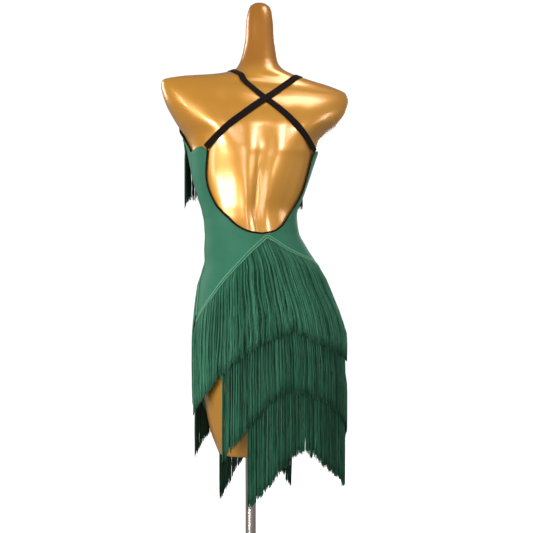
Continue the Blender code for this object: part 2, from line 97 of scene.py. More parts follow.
Section = namedtuple("Section", "z shift_x shift_y half_width back front squareness")
SECTIONS = (
    Section(0.532, 0.001, 0.010, 0.074, 0.075, 0.068, 2.0),
    Section(0.577, -0.006, 0.010, 0.098, 0.092, 0.080, 2.1),
    Section(0.652, -0.020, 0.010, 0.128, 0.112, 0.090, 2.2),
    Section(0.715, -0.032, 0.010, 0.155, 0.126, 0.096, 2.2),
    Section(0.781, -0.039, 0.010, 0.166, 0.132, 0.100, 2.2),
    Section(0.838, -0.036, 0.010, 0.159, 0.128, 0.100, 2.2),
    Section(0.879, -0.031, 0.008, 0.149, 0.116, 0.098, 2.2),
    Section(0.913, -0.027, 0.006, 0.140, 0.106, 0.096, 2.2),
    Section(0.952, -0.024, 0.003, 0.127, 0.095, 0.090, 2.2),
    Section(0.993, -0.012, 0.000, 0.114, 0.084, 0.084, 2.2),
    Section(1.029, -0.003, 0.000, 0.104, 0.079, 0.080, 2.2),
    Section(1.056, 0.000, 0.000, 0.103, 0.078, 0.080, 2.2),
    Section(1.075, 0.002, 0.000, 0.105, 0.079, 0.082, 2.2),
    Section(1.113, 0.000, 0.000, 0.118, 0.085, 0.092, 2.2),
    Section(1.152, -0.002, 0.000, 0.130, 0.091, 0.102, 2.2),
    Section(1.197, -0.007, 0.000, 0.140, 0.096, 0.110, 2.2),
    Section(1.215, -0.009, 0.000, 0.144, 0.098, 0.110, 2.2),
    Section(1.240, -0.008, 0.001, 0.152, 0.098, 0.105, 2.2),
    Section(1.262, -0.008, 0.002, 0.170, 0.098, 0.099, 2.3),
    Section(1.285, -0.012, 0.003, 0.192, 0.095, 0.089, 2.4),
    Section(1.305, -0.013, 0.004, 0.206, 0.090, 0.081, 2.4),
    Section(1.328, -0.013, 0.004, 0.215, 0.080, 0.072, 2.4),
    Section(1.346, -0.013, 0.004, 0.219, 0.068, 0.062, 2.3),
    Section(1.358, -0.014, 0.003, 0.216, 0.059, 0.055, 2.2),
    Section(1.365, -0.019, 0.002, 0.198, 0.055, 0.052, 2.2),
    Section(1.370, -0.024, 0.001, 0.178, 0.054, 0.051, 2.1),
    Section(1.375, -0.033, 0.000, 0.148, 0.052, 0.050, 2.1),
    Section(1.381, -0.035, -0.001, 0.116, 0.051, 0.050, 2.0),
    Section(1.390, -0.030, -0.001, 0.080, 0.049, 0.049, 2.0),
    Section(1.400, -0.025, -0.002, 0.057, 0.046, 0.046, 2.0),
    Section(1.408, -0.022, -0.003, 0.049, 0.044, 0.044, 2.0),
    Section(1.422, -0.022, -0.003, 0.043, 0.040, 0.040, 2.0),
    Section(1.449, -0.023, -0.004, 0.037, 0.036, 0.036, 2.0),
    Section(1.476, -0.023, -0.004, 0.033, 0.033, 0.033, 2.0),
    Section(1.503, -0.023, -0.004, 0.032, 0.031, 0.031, 2.0),
    Section(1.531, -0.023, -0.004, 0.0275, 0.026, 0.026, 2.0),
    Section(1.544, -0.023, -0.004, 0.0225, 0.0205, 0.0205, 2.0),
    Section(1.551, -0.023, -0.004, 0.013, 0.012, 0.012, 2.0),
)

OpeningRow = namedtuple("OpeningRow", "z half_angle")
OPENING = (
    OpeningRow(1.0225, 0.0),
    OpeningRow(1.0260, 11.0),
    OpeningRow(1.0365, 24.0),
    OpeningRow(1.0610, 40.0),
    OpeningRow(1.0905, 55.0),
    OpeningRow(1.1300, 61.5),
    OpeningRow(1.1670, 59.5),
    OpeningRow(1.2100, 56.0),
)

Place = namedtuple("Place", "angle z")
WING_EDGE = (Place(56.0, 1.2075), Place(66.0, 1.2155), Place(90.0, 1.2060))
FRONT_EDGE = (
    Place(90.0, 1.2060),
    Place(98.0, 1.2250),
    Place(110.0, 1.2420),
    Place(125.0, 1.2620),
    Place(142.0, 1.3080),
    Place(155.0, 1.3380),
    Place(162.0, 1.3360),
    Place(170.0, 1.3000),
    Place(180.0, 1.2860),
)
BACK_TAPES = (
    (Place(-89.0, 0.8240), Place(-62.0, 0.8800), Place(-33.0, 0.9500), Place(0.5, 1.0070),
     Place(4.5, 1.0135), Place(8.5, 1.0080), Place(26.0, 0.9810), Place(57.0, 0.9560), Place(89.0, 0.9330)),
    (Place(-47.0, 0.7300), Place(-33.0, 0.7750), Place(1.5, 0.8800), Place(34.0, 0.8530),
     Place(47.0, 0.8280), Place(89.0, 0.7560)),
    (Place(-26.0, 0.6320), Place(-12.0, 0.6720), Place(10.0, 0.7500), Place(35.0, 0.7070),
     Place(60.0, 0.6720), Place(89.0, 0.6500)),
)
FRONT_TAPES = (
    (Place(91.0, 0.9310), Place(125.0, 0.9620), Place(180.0, 1.0150), Place(235.0, 0.9720),
     Place(256.0, 0.9350), Place(269.0, 0.8420)),
    (Place(91.0, 0.7540), Place(125.0, 0.8000), Place(180.0, 0.8700), Place(225.0, 0.7620),
     Place(247.0, 0.7170)),
    (Place(152.0, 0.6280), Place(180.0, 0.7200), Place(211.0, 0.6060)),
)
BUST_TAPE = (Place(127.0, 1.2300), Place(150.0, 1.2460), Place(180.0, 1.2600),
             Place(220.0, 1.2500), Place(247.0, 1.2300))
BACK_HEM = (Place(-90.0, 0.8000), Place(-47.0, 0.7050), Place(-26.0, 0.6080),
            Place(10.0, 0.6500), Place(90.0, 0.6280))
FRONT_HEM = (Place(90.0, 0.6280), Place(152.0, 0.6040), Place(180.0, 0.6300),
             Place(211.0, 0.5830), Place(247.0, 0.6930), Place(270.0, 0.8000))

RoutePoint = namedtuple("RoutePoint", "angle z lift")
RIGHT_STRAP = (
    RoutePoint(-56.5, 1.2130, 0.0),
    RoutePoint(-33.0, 1.2490, 0.0),
    RoutePoint(-11.5, 1.2850, 0.0),
    RoutePoint(-0.5, 1.3200, 1.0),
    RoutePoint(9.5, 1.3540, 0.0),
    RoutePoint(22.0, 1.3765, 0.0),
    RoutePoint(46.0, 1.3850, 0.0),
    RoutePoint(90.0, 1.3890, 0.0),
    RoutePoint(134.0, 1.3850, 0.0),
    RoutePoint(151.0, 1.3660, 0.0),
    RoutePoint(158.0, 1.3415, 0.0),
)
LEFT_STRAP = (
    RoutePoint(56.5, 1.2130, 0.0),
    RoutePoint(28.0, 1.2560, 0.0),
    RoutePoint(12.0, 1.2830, 0.0),
    RoutePoint(0.0, 1.3200, 0.0),
    RoutePoint(-7.0, 1.3510, 0.0),
    RoutePoint(-20.0, 1.3720, 0.0),
    RoutePoint(-42.0, 1.3810, 0.0),
    RoutePoint(-90.0, 1.3915, 0.0),
    RoutePoint(-134.0, 1.3860, 0.0),
    RoutePoint(-151.0, 1.3660, 0.0),
    RoutePoint(-158.0, 1.3415, 0.0),
)

# Soft folds in the jersey: place, half-widths across in degrees and along, lean and depth
Fold = namedtuple("Fold", "angle z across along lean depth")
BACK_FOLDS = (
    Fold(-79.0, 1.196, 3.0, 0.020, -0.20, 0.0012),
    Fold(-70.0, 1.060, 9.0, 0.005, 0.10, 0.0007),
    Fold(-56.0, 1.034, 11.0, 0.006, -0.15, 0.0006),
    Fold(66.0, 1.052, 9.0, 0.005, 0.12, 0.0008),
    Fold(74.0, 1.020, 8.0, 0.005, -0.10, 0.0006),
    Fold(-38.0, 0.990, 12.0, 0.007, 0.20, 0.0005),
    Fold(-7.0, 1.012, 2.6, 0.012, 0.0, 0.0012),
)
FRONT_FOLDS = (
    Fold(112.0, 1.180, 8.0, 0.006, 0.25, 0.0009),
    Fold(247.0, 1.172, 9.0, 0.006, -0.20, 0.0009),
    Fold(180.0, 1.190, 10.0, 0.012, 0.0, 0.0012),
    Fold(128.0, 1.055, 10.0, 0.005, -0.12, 0.0007),
    Fold(238.0, 1.040, 11.0, 0.006, 0.15, 0.0006),
    Fold(160.0, 1.085, 12.0, 0.006, 0.10, 0.0005),
)

# Relief that the moulding has beyond the plain form: place, half-widths across in degrees and along, and rise
Relief = namedtuple("Relief", "angle z across along rise")
RELIEFS = (
    Relief(-3.0, 1.105, 1.7, 0.060, -0.0042),
    Relief(-12.0, 1.095, 6.5, 0.070, 0.0026),
    Relief(7.0, 1.110, 6.5, 0.075, 0.0028),
    Relief(-37.0, 1.250, 12.0, 0.033, 0.0036),
    Relief(34.0, 1.250, 12.0, 0.032, 0.0040),
    Relief(-20.0, 1.300, 6.0, 0.040, -0.0022),
    Relief(18.0, 1.296, 6.0, 0.040, -0.0022),
    Relief(0.0, 1.215, 8.0, 0.045, -0.0030),
    Relief(33.0, 1.130, 9.0, 0.060, -0.0022),
    Relief(-34.0, 1.140, 9.0, 0.055, -0.0020),
)

# Jersey: the shares of a fold's depth that sink and rise, how far above it the rise lies, the metres
# across a degree of the body, the stitches' pitch, and each mesh's rows and columns
FOLD_SINK = 0.5
FOLD_RIDGE = 0.25
FOLD_RIDGE_ABOVE = 0.008
BODY_DEGREE = 0.0026
JERSEY_RIB = 0.0011
WING_COLUMNS = 37
WING_ROWS = 34
BACK_SKIRT_ROWS = 46
FRONT_COLUMNS = 121
FRONT_ROWS = 130
ROW_CROWDING = 1.5
BINDING_POINTS = 41
EDGE_POINTS = 48

# The form: its base's rounded rim and the painted shade that darkens the gold on its neck
RIM_SHARE = 0.97
RIM_DROP = 0.0002
NECK_SHADE_LEVEL = 1.385
NECK_SHADE_SPAN = 0.035
NECK_PAINTED_SHADE = 0.8

# Straps: points each side that pull a bend straight, the share that settles at each end, and the gap below
STRAP_POINTS = 180
STRAP_TAUT = 16
STRAP_SEWN = 0.24
STRAP_REST = 0.0016
ELASTIC_RIB = 0.0016
ELASTIC_PICK = 0.0011

# Header tapes: their section, the gap below, the plait's pitch and the points along each
BRAID_THICKNESS = 0.0016
BRAID_GAP = 0.0003
BRAID_PLAIT = 0.0036
BRAID_POINTS = 120

# Fringe strands: their section and twist, how unevenly they hang, are cut and take the dye by themselves
# and by the tuft, how far each stands out and how much painted shade that gives, the painted highlight on the
# tips, and those that hang in shade, painted darker
SEED = 11
STRAND_RADIUS = 0.00068
STRAND_SIDES = 3
STRAND_STEPS = 8
STRAND_TWIST = 0.0024
STRAND_WAVER = 0.0006
STRAND_LEAN = 0.005
STRAND_CUT = 0.014
STRAND_TONE = 0.22
TUFT_PITCH = 0.0050
TUFT_JITTER = 0.22
TUFT_LEAN = 0.004
TUFT_CUT = 0.013
TUFT_TONE = 0.04
LONGEST_CUT = 1.035
GATHER_DROP = 0.055
SETTLE_DROP = 0.03
END_MARGIN = 0.0005
ROOT_ABOVE_TAPE = 0.0012
ROOT_GAP = 0.0007
CLEAR_GAP = 0.0004
ROOT_DEPTH = 0.0007
TUFT_DEPTH = 0.0027
# Painted shade: strands deeper in a tuft darker, those standing out lighter
DEPTH_PAINTED_SHADE = 0.62
TIP_SHARE = 0.99
TIP_RADIUS = 0.6
# Painted highlight on the tips
TIP_PAINTED_HIGHLIGHT = 0.22
SHADED_STRANDS = 0.40
SHADED_SHORTER = 0.006
# Painted shade on the strands that hang in shade
SHADED_TONE = 0.40

# Each tier from the top: its strands on the back and front, how far they wave and gather, and how light they
# are, with painted shade making the lower skirt tiers darker
Tier = namedtuple("Tier", "back_strands front_strands wave tuft tone")
TIERS = (
    Tier(2600, 2200, 0.0011, 0.50, 0.60),
    Tier(2300, 1900, 0.0006, 0.60, 0.43),
    Tier(2100, 1000, 0.0005, 0.55, 0.35),
)
BUST_TIER = Tier(0, 900, 0.0009, 0.60, 0.42)


def smooth_values(xs, ys, x):
    """The values at x of a smooth curve through the points that doesn't overshoot between them."""
    xs, ys = np.asarray(xs, float), np.asarray(ys, float)
    x = np.clip(x, xs[0], xs[-1])
    span = np.diff(xs)
    slope = np.diff(ys) / span
    tangent = np.empty_like(ys)
    tangent[0], tangent[-1] = slope[0], slope[-1]
    before, after = slope[:-1], slope[1:]
    weight_before, weight_after = 2 * span[1:] + span[:-1], span[1:] + 2 * span[:-1]
    same_way = before * after > 0
    inverse = weight_before / np.where(same_way, before, 1) + weight_after / np.where(same_way, after, 1)
    tangent[1:-1] = np.where(same_way, (weight_before + weight_after) / inverse, 0)
    i = np.clip(np.searchsorted(xs, x, side="right") - 1, 0, len(span) - 1)
    t = (x - xs[i]) / span[i]
    return (
        (2 * t**3 - 3 * t**2 + 1) * ys[i]
        + (t**3 - 2 * t**2 + t) * span[i] * tangent[i]
        + (3 * t**2 - 2 * t**3) * ys[i + 1]
        + (t**3 - t**2) * span[i] * tangent[i + 1]
    )


def along(table, key, value, at):
    return smooth_values([getattr(row, key) for row in table], [getattr(row, value) for row in table], at)


def height_on(edge, angle):
    return along(edge, "angle", "z", angle)


def front_edge_height(angle):
    return height_on(FRONT_EDGE, 180 - np.abs(np.asarray(angle) - 180))


def opening_angle(z):
    return along(OPENING, "z", "half_angle", z)


def power(value, exponent):
    return np.sign(value) * np.abs(value) ** exponent


def ease(share):
    share = np.clip(share, 0.0, 1.0)
    return share * share * (3 - 2 * share)


def bell(offset, spread):
    return np.exp(-((offset / spread) ** 2))


def degrees_from_back(angle):
    return np.abs((angle + 180) % 360 - 180)


def cup_share(z, angle):
    return bell(degrees_from_back(angle) - CUP_ANGLE, CUP_SPREAD_DEG) * bell(z - CUP_LEVEL, CUP_SPREAD)


def body_points(z, angle):
    """The form's surface at heights and angles in degrees: 0 the centre back, 90 the right side."""
    z, angle = np.broadcast_arrays(np.asarray(z, float), np.asarray(angle, float))
    shift_x, shift_y, half_width, back, front, squareness = (
        along(SECTIONS, "z", name, z) for name in Section._fields[1:]
    )
    turn = np.radians(angle)
    sine, cosine = np.sin(turn), np.cos(turn)
    exponent = 2 / squareness
    x = -half_width * power(sine, exponent)
    y = np.where(cosine > 0, back, front) * power(cosine, exponent)
    channel = BACK_CHANNEL_DEPTH * bell(degrees_from_back(angle), BACK_CHANNEL_DEG)
    channel = channel * bell(z - BACK_CHANNEL_LEVEL, BACK_CHANNEL_SPREAD)
    stretch = 1 + (CUP_RISE * cup_share(z, angle) - channel) / np.hypot(x, y)
    x, y = x * stretch, y * stretch
    rise = np.clip((z - ROLL_START) / ROLL_SPAN, 0, 1)
    rise = rise * rise * (3 - 2 * rise)
    return np.stack([shift_x + x, shift_y + y, z + np.tan(SHOULDER_ROLL * rise) * x], axis=-1)


def unit(vectors):
    return vectors / np.linalg.norm(vectors, axis=-1, keepdims=True)


def normals_at(z, angle):
    across = body_points(z, angle + 0.2) - body_points(z, angle - 0.2)
    up = body_points(z + 0.001, angle) - body_points(z - 0.001, angle)
    return unit(np.cross(across, up))


def surface_points(z, angle, out):
    """Points moved straight out from the form, and a little more where cloth spans a cup."""
    z, angle = np.asarray(z, float), np.asarray(angle, float)
    eased = out + np.where(np.asarray(out) > 0, CUP_EASE * cup_share(z, angle), 0.0)
    return body_points(z, angle) + eased[..., None] * normals_at(z, angle)


def hanging_points(z, angle, out, level=HIP_LEVEL):
    """Points of cloth that follows the form down to a level and hangs straight below it."""
    z, angle, out = np.broadcast_arrays(*(np.asarray(v, float) for v in (z, angle, out)))
    points = surface_points(np.maximum(z, level), angle, out)
    points[..., 2] = np.where(z < level, z, points[..., 2])
    return points


def new_piece(name, verts, faces, material, slot, *nodes, smooth=True, attributes=None):
    """A mesh object that rides the root body and stands for the CAD nodes that it names."""
    mesh = bpy.data.meshes.new(name)
    verts = np.asarray(verts, np.float32).reshape(-1, 3)
    mesh.vertices.add(len(verts))
    mesh.vertices.foreach_set("co", verts.ravel())
    sizes = np.concatenate([np.full(len(group), group.shape[1]) for group in faces])
    corners = np.concatenate([group.ravel() for group in faces])
    mesh.loops.add(len(corners))
    mesh.loops.foreach_set("vertex_index", corners.astype(np.int32))
    mesh.polygons.add(len(sizes))
    mesh.polygons.foreach_set("loop_start", (np.cumsum(sizes) - sizes).astype(np.int32))
    mesh.polygons.foreach_set("use_smooth", np.full(len(sizes), smooth))
    mesh.update(calc_edges=True)
    for key, values in (attributes or {}).items():
        layer = mesh.attributes.new(key, "FLOAT", "POINT")
        layer.data.foreach_set("value", np.asarray(values, np.float32).ravel())
    mesh.materials.append(material)
    piece = bpy.data.objects.new(name, mesh)
    bpy.context.scene.collection.objects.link(piece)
    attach(piece, "root")
    if nodes:
        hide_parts(*nodes)
    return piece


def grid_faces(rows, columns, ring=False, start=0):
    """Quads of a grid of points in rows, top first, each running left to right seen from outside."""
    across = columns if ring else columns - 1
    i, j = np.meshgrid(np.arange(rows - 1), np.arange(across), indexing="ij")
    k = (j + 1) % columns
    quad = np.stack([i * columns + j, (i + 1) * columns + j, (i + 1) * columns + k, i * columns + k], -1)
    return quad.reshape(-1, 4) + start


def make_wall(piece, thickness):
    """Gives an open sheet its thickness, outwards."""
    solidify = piece.modifiers.new("Wall", "SOLIDIFY")
    solidify.thickness = thickness
    solidify.offset = 1.0
    solidify.use_rim = True


# ---------------------------------------------------------------- materials

def linear(red, green, blue):
    """A colour given as sRGB from 0 to 255, as the shader takes it."""
    values = []
    for value in (red, green, blue):
        share = value / 255
        values.append(share / 12.92 if share <= 0.04045 else ((share + 0.055) / 1.055) ** 2.4)
    return (*values, 1.0)


class Shader:
    """A Principled material whose nodes are added one at a time."""

    def __init__(self, name, roughness, metallic=0.0, **sockets):
        self.material = bpy.data.materials.new(name)
        self.material.use_nodes = True
        self.nodes = self.material.node_tree.nodes
        self.links = self.material.node_tree.links
        self.principled = self.nodes["Principled BSDF"]
        self.principled.inputs["Roughness"].default_value = roughness
        self.principled.inputs["Metallic"].default_value = metallic
        for socket, value in sockets.items():
            self.principled.inputs[socket.replace("_", " ")].default_value = value

    def add(self, kind, **values):
        node = self.nodes.new(kind)
        for key, value in values.items():
            setattr(node, key, value)
        return node

    def noise(self, scale, detail=2.0, stretch=(1, 1, 1)):
        place = self.add("ShaderNodeTexCoord")
        mapping = self.add("ShaderNodeMapping")
        mapping.inputs["Scale"].default_value = stretch
        texture = self.add("ShaderNodeTexNoise")
        texture.inputs["Scale"].default_value = scale
        texture.inputs["Detail"].default_value = detail
        self.links.new(place.outputs["Object"], mapping.inputs["Vector"])
        self.links.new(mapping.outputs["Vector"], texture.inputs["Vector"])
        return texture.outputs["Fac"]

    def attribute(self, name):
        return self.add("ShaderNodeAttribute", attribute_name=name).outputs["Fac"]

    def maths(self, operation, first, second=None):
        node = self.add("ShaderNodeMath", operation=operation)
        for socket, value in zip(node.inputs, (first, second)):
            if value is None:
                continue
            if isinstance(value, (int, float)):
                socket.default_value = value
            else:
                self.links.new(value, socket)
        return node.outputs["Value"]

    def wave(self, attribute, pitch):
        return self.maths("SINE", self.maths("MULTIPLY", self.attribute(attribute), 2 * math.pi / pitch))

    def ramp(self, factor, *stops):
        node = self.add("ShaderNodeValToRGB")
        elements = node.color_ramp.elements
        while len(elements) < len(stops):
            elements.new(0.5)
        for element, (position, colour) in zip(elements, stops):
            element.position = position
            element.color = colour
        self.links.new(factor, node.inputs["Fac"])
        return node.outputs["Color"]

    def mix(self, factor, first, second, blend="MIX"):
        node = self.add("ShaderNodeMix", data_type="RGBA", blend_type=blend)
        for socket, value in ((node.inputs[0], factor), (node.inputs[6], first), (node.inputs[7], second)):
            if isinstance(value, (int, float, tuple)):
                socket.default_value = value
            else:
                self.links.new(value, socket)
        return node.outputs[2]

    def colour(self, output):
        self.links.new(output, self.principled.inputs["Base Color"])

    def roughness(self, factor, low, high):
        node = self.add("ShaderNodeMapRange")
        node.inputs["To Min"].default_value = low
        node.inputs["To Max"].default_value = high
        self.links.new(factor, node.inputs["Value"])
        self.links.new(node.outputs["Result"], self.principled.inputs["Roughness"])

    def bump(self, height, strength, distance):
        node = self.add("ShaderNodeBump")
        node.inputs["Strength"].default_value = strength
        node.inputs["Distance"].default_value = distance
        self.links.new(height, node.inputs["Height"])
        self.links.new(node.outputs["Normal"], self.principled.inputs["Normal"])


def make_jersey():
    """Stretch jersey: fine vertical ribs of stitches, slightly uneven dye and a soft sheen."""
    shader = Shader("green_jersey", 0.58, Sheen_Weight=0.16, Sheen_Roughness=0.45, Specular_IOR_Level=0.18)
    shader.principled.inputs["Sheen Tint"].default_value = linear(150, 210, 180)
    cloud = shader.noise(14.0, 3.0)
    grain = shader.noise(900.0, 2.0, (1, 1, 0.35))
    base = shader.ramp(cloud, (0.30, linear(56, 124, 96)), (0.70, linear(65, 135, 107)))
    flecks = shader.ramp(grain, (0.35, linear(38, 96, 68)), (0.65, linear(78, 148, 114)))
    shader.colour(shader.mix(0.16, base, flecks))
    shader.roughness(grain, 0.50, 0.68)
    rib = shader.wave("across", JERSEY_RIB)
    knit = shader.maths("ADD", shader.maths("MULTIPLY", rib, 0.35), grain)
    shader.bump(knit, 0.22, 0.0003)
    return shader.material


def make_fringe_material():
    """Chainette fringe: strands of twisted rayon, some painted lighter and some painted darker as in shade,
    with a silky sheen.
    """
    shader = Shader("green_fringe", 0.46, Sheen_Weight=0.04, Specular_IOR_Level=0.16)
    # The ramp turns the strands' random dye, painted shade and painted highlights into colour
    tone = shader.attribute("tone")
    base = shader.ramp(
        tone,
        (0.0, linear(10, 30, 20)),
        (0.35, linear(23, 73, 50)),
        (0.70, linear(44, 114, 84)),
        (1.0, linear(90, 164, 130)),
    )
    streak = shader.noise(260.0, 2.0, (1, 1, 0.12))
    streaks = shader.ramp(streak, (0.35, linear(17, 52, 36)), (0.68, linear(70, 142, 109)))
    shader.colour(shader.mix(0.22, base, streaks))
    shader.roughness(streak, 0.34, 0.56)
    shader.bump(shader.wave("run", STRAND_TWIST), 0.35, 0.0003)
    return shader.material


def make_tape_material():
    """The braided header: lighter shiny yarn plaited across the band."""
    shader = Shader("green_tape", 0.44, Sheen_Weight=0.16, Specular_IOR_Level=0.32)
    run = shader.maths("MULTIPLY", shader.attribute("run"), 2 * math.pi / BRAID_PLAIT)
    side = shader.maths("MULTIPLY", shader.attribute("across"), 900.0)
    plait = shader.maths("SINE", shader.maths("ADD", run, shader.maths("ABSOLUTE", side)))
    share = shader.maths("MULTIPLY", shader.maths("ADD", plait, 1.0), 0.5)
    cord = shader.maths("MULTIPLY", shader.maths("ABSOLUTE", shader.attribute("across")), 2 / TAPE_WIDTH)
    yarn = shader.ramp(
        share,
        (0.1, linear(72, 142, 104)),
        (0.6, linear(108, 186, 146)),
        (1.0, linear(140, 214, 174)),
    )
    edges = shader.ramp(cord, (0.30, (0, 0, 0, 1)), (0.55, (1, 1, 1, 1)))
    shader.colour(shader.mix(edges, linear(48, 116, 82), yarn))
    shader.bump(share, 0.6, 0.0006)
    return shader.material


def make_elastic():
    """Woven elastic: ribs along it, small picks across and a dull brown-black yarn."""
    shader = Shader("black_elastic", 0.75, Sheen_Weight=0.06, Specular_IOR_Level=0.10)
    rib = shader.wave("across", ELASTIC_RIB)
    pick = shader.wave("run", ELASTIC_PICK)
    weave = shader.maths("ADD", shader.maths("MULTIPLY", rib, 0.6), shader.maths("MULTIPLY", pick, 0.4))
    share = shader.maths("MULTIPLY", shader.maths("ADD", weave, 1.0), 0.5)
    shader.colour(shader.ramp(share, (0.1, linear(15, 10, 8)), (0.9, linear(39, 27, 22))))
    shader.bump(share, 0.5, 0.0004)
    return shader.material


def make_gold():
    """Gold lacquer over a smooth moulding: clear gloss, a little orange peel, uneven metal flake and painted
    shade on the neck.
    """
    shader = Shader("gold_form", 0.34, 0.36, Coat_Weight=0.9, Coat_Roughness=0.20, Coat_IOR=1.75)
    cloud = shader.noise(5.0, 2.0)
    flake = shader.noise(2400.0, 1.0)
    base = shader.ramp(cloud, (0.3, linear(238, 160, 40)), (0.7, linear(246, 172, 50)))
    flakes = shader.ramp(flake, (0.4, linear(206, 124, 38)), (0.62, linear(252, 202, 112)))
    base = shader.mix(0.12, base, flakes)
    # Painted shade: the gold turns darker up the neck
    shader.colour(shader.mix(shader.attribute("neck"), base, linear(202, 126, 30)))
    shader.roughness(flake, 0.30, 0.38)
    shader.bump(shader.noise(38.0, 1.0), 0.04, 0.001)
    return shader.material


def make_steel():
    """Chrome plate with faint polishing lines."""
    shader = Shader("stand_steel", 0.22, 0.9)
    lines = shader.noise(420.0, 2.0, (1, 1, 0.02))
    shader.colour(shader.ramp(lines, (0.3, linear(212, 198, 188)), (0.7, linear(238, 226, 218))))
    shader.roughness(lines, 0.16, 0.28)
    shader.bump(lines, 0.05, 0.0002)
    return shader.material


# ---------------------------------------------------------------- form and stand

def relief(z, angle):
    """How far the moulding stands out from the plain form here."""
    rise = np.zeros(np.broadcast(z, angle).shape)
    for spot in RELIEFS:
        from_angle = (angle - spot.angle + 180) % 360 - 180
        rise += spot.rise * bell(from_angle, spot.across) * bell(z - spot.z, spot.along)
    return rise


def make_form(material):
    """The display form, finely meshed, with its flat cut bottom and rounded neck."""
    heights = np.concatenate([
        np.arange(SECTIONS[0].z, 1.33, 0.006),
        np.arange(1.33, 1.43, 0.003),
        np.arange(1.43, 1.545, 0.006),
        np.linspace(1.545, SECTIONS[-1].z, 4),
    ])[::-1]
    angles = np.concatenate([np.arange(-60, 60, 1.25), np.arange(60, 300, 3.0)])
    z, angle = heights[:, None], angles[None, :]
    points = body_points(z, angle) + relief(z, angle)[..., None] * normals_at(z, angle)
    rows, columns = len(heights), len(angles)
    rim = points[-1]
    inner = rim.mean(0) + (rim - rim.mean(0)) * RIM_SHARE
    inner[:, 2] = rim[:, 2] - RIM_DROP
    top = points[0].mean(0)
    top[2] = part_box("form")[1].z
    bottom = rim.mean(0) - np.array([0, 0, RIM_DROP])
    verts = np.concatenate([points.reshape(-1, 3), inner, [top], [bottom]])
    ring = np.arange(columns)
    after = (ring + 1) % columns
    last = rows * columns
    cap = np.stack([np.full(columns, last + columns), ring, after], -1)
    edge = np.stack([last - columns + ring, last + ring, last + after, last - columns + after], -1)
    base = np.stack([last + ring, np.full(columns, last + columns + 1), last + after], -1)
    faces = [grid_faces(rows, columns, ring=True), edge, cap, base]
    # Painted shade, growing up the neck
    neck = ease((verts[:, 2] - NECK_SHADE_LEVEL) / NECK_SHADE_SPAN) * NECK_PAINTED_SHADE
    return new_piece("display_form", verts, faces, material, "gold_form", "form", attributes={"neck": neck})


def finish_stand(material):
    for name in ("pole", "base_plate", "base_socket"):
        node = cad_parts[name]
        node.data.materials.clear()
        node.data.materials.append(material)


# ---------------------------------------------------------------- jersey

def fold_depth(z, angle, folds):
    """The folds' depth here, before the cloth takes its share of it."""
    depth = np.zeros(np.broadcast(z, angle).shape)
    for fold in folds:
        from_angle = angle - fold.angle
        from_height = z - fold.z - fold.lean * from_angle * BODY_DEGREE
        depth += fold.depth * bell(from_angle, fold.across) * bell(from_height, fold.along)
    return depth


def jersey_points(z, angle, folds):
    """Points of the jersey's inner face, each fold a soft trough with a low ridge above it."""
    trough = fold_depth(z, angle, folds) * FOLD_SINK
    ridge = FOLD_RIDGE * fold_depth(z - FOLD_RIDGE_ABOVE, angle, folds)
    return hanging_points(z, angle, CLOTH_CLEARANCE - trough + ridge)


def arc_lengths(points):
    """The running length along each row of points, from its middle."""
    steps = np.linalg.norm(np.diff(points, axis=1), axis=2)
    run = np.concatenate([np.zeros((len(points), 1)), np.cumsum(steps, axis=1)], axis=1)
    return run - run[:, run.shape[1] // 2, None]


def make_back_panel(material):
    """The back: a band below the opening from seam to seam, and a wing up each side of it."""
    edge = SIDE_SEAM - SEAM_GAP_DEG
    columns = WING_COLUMNS
    shares = np.linspace(0, 1, columns)
    angles = np.concatenate([-edge * shares[::-1], edge * shares[1:]])
    down = np.linspace(0, 1, BACK_SKIRT_ROWS)[:, None]
    low = height_on(BACK_HEM, angles)[None, :]
    z = OPENING_BOTTOM + (low - OPENING_BOTTOM) * down
    spread = np.broadcast_to(angles[None, :], z.shape)
    lower = jersey_points(z, spread, BACK_FOLDS)
    verts, across = [lower.reshape(-1, 3)], [arc_lengths(lower).ravel()]
    faces = [grid_faces(len(down), len(angles))]
    count = lower.shape[0] * lower.shape[1]
    rises = (np.arange(1, WING_ROWS + 1) / WING_ROWS) ** ROW_CROWDING
    heights = OPENING_BOTTOM + (WING_TOP - OPENING_BOTTOM) * rises
    for side in (-1, 1):
        inner = opening_angle(heights)[:, None]
        wing = inner + (edge - inner) * shares[None, :]
        z = OPENING_BOTTOM + (height_on(WING_EDGE, wing) - OPENING_BOTTOM) * rises[:, None]
        points = jersey_points(z, side * wing, BACK_FOLDS)
        if side < 0:
            points = points[:, ::-1]
        points = points[::-1]
        base = np.arange(columns) if side < 0 else np.arange(columns - 1, 2 * columns - 1)
        top = count + (len(rises) - 1) * columns + np.arange(columns)
        join = np.stack([top[:-1], base[:-1], base[1:], top[1:]], -1)
        faces += [grid_faces(len(rises), columns, start=count), join]
        verts.append(points.reshape(-1, 3))
        across.append(arc_lengths(points).ravel())
        count += len(rises) * columns
    piece = new_piece(
        "jersey_back", np.concatenate(verts), faces, material, "green_jersey", "back_panel",
        attributes={"across": np.concatenate(across)},
    )
    make_wall(piece, CLOTH)
    return piece


def make_front_panel(material):
    start = SIDE_SEAM + SEAM_GAP_DEG
    angles = np.linspace(start, 360 - start, FRONT_COLUMNS)
    down = np.linspace(0, 1, FRONT_ROWS)[:, None]
    top = front_edge_height(angles)[None, :]
    low = height_on(FRONT_HEM, angles)[None, :]
    z = top + (low - top) * down
    points = jersey_points(z, np.broadcast_to(angles[None, :], z.shape), FRONT_FOLDS)
    piece = new_piece(
        "jersey_front", points, [grid_faces(len(down), len(angles))], material, "green_jersey", "front_panel",
        attributes={"across": arc_lengths(points)},
    )
    make_wall(piece, CLOTH)
    return piece


# ---------------------------------------------------------------- elastic, tape and binding

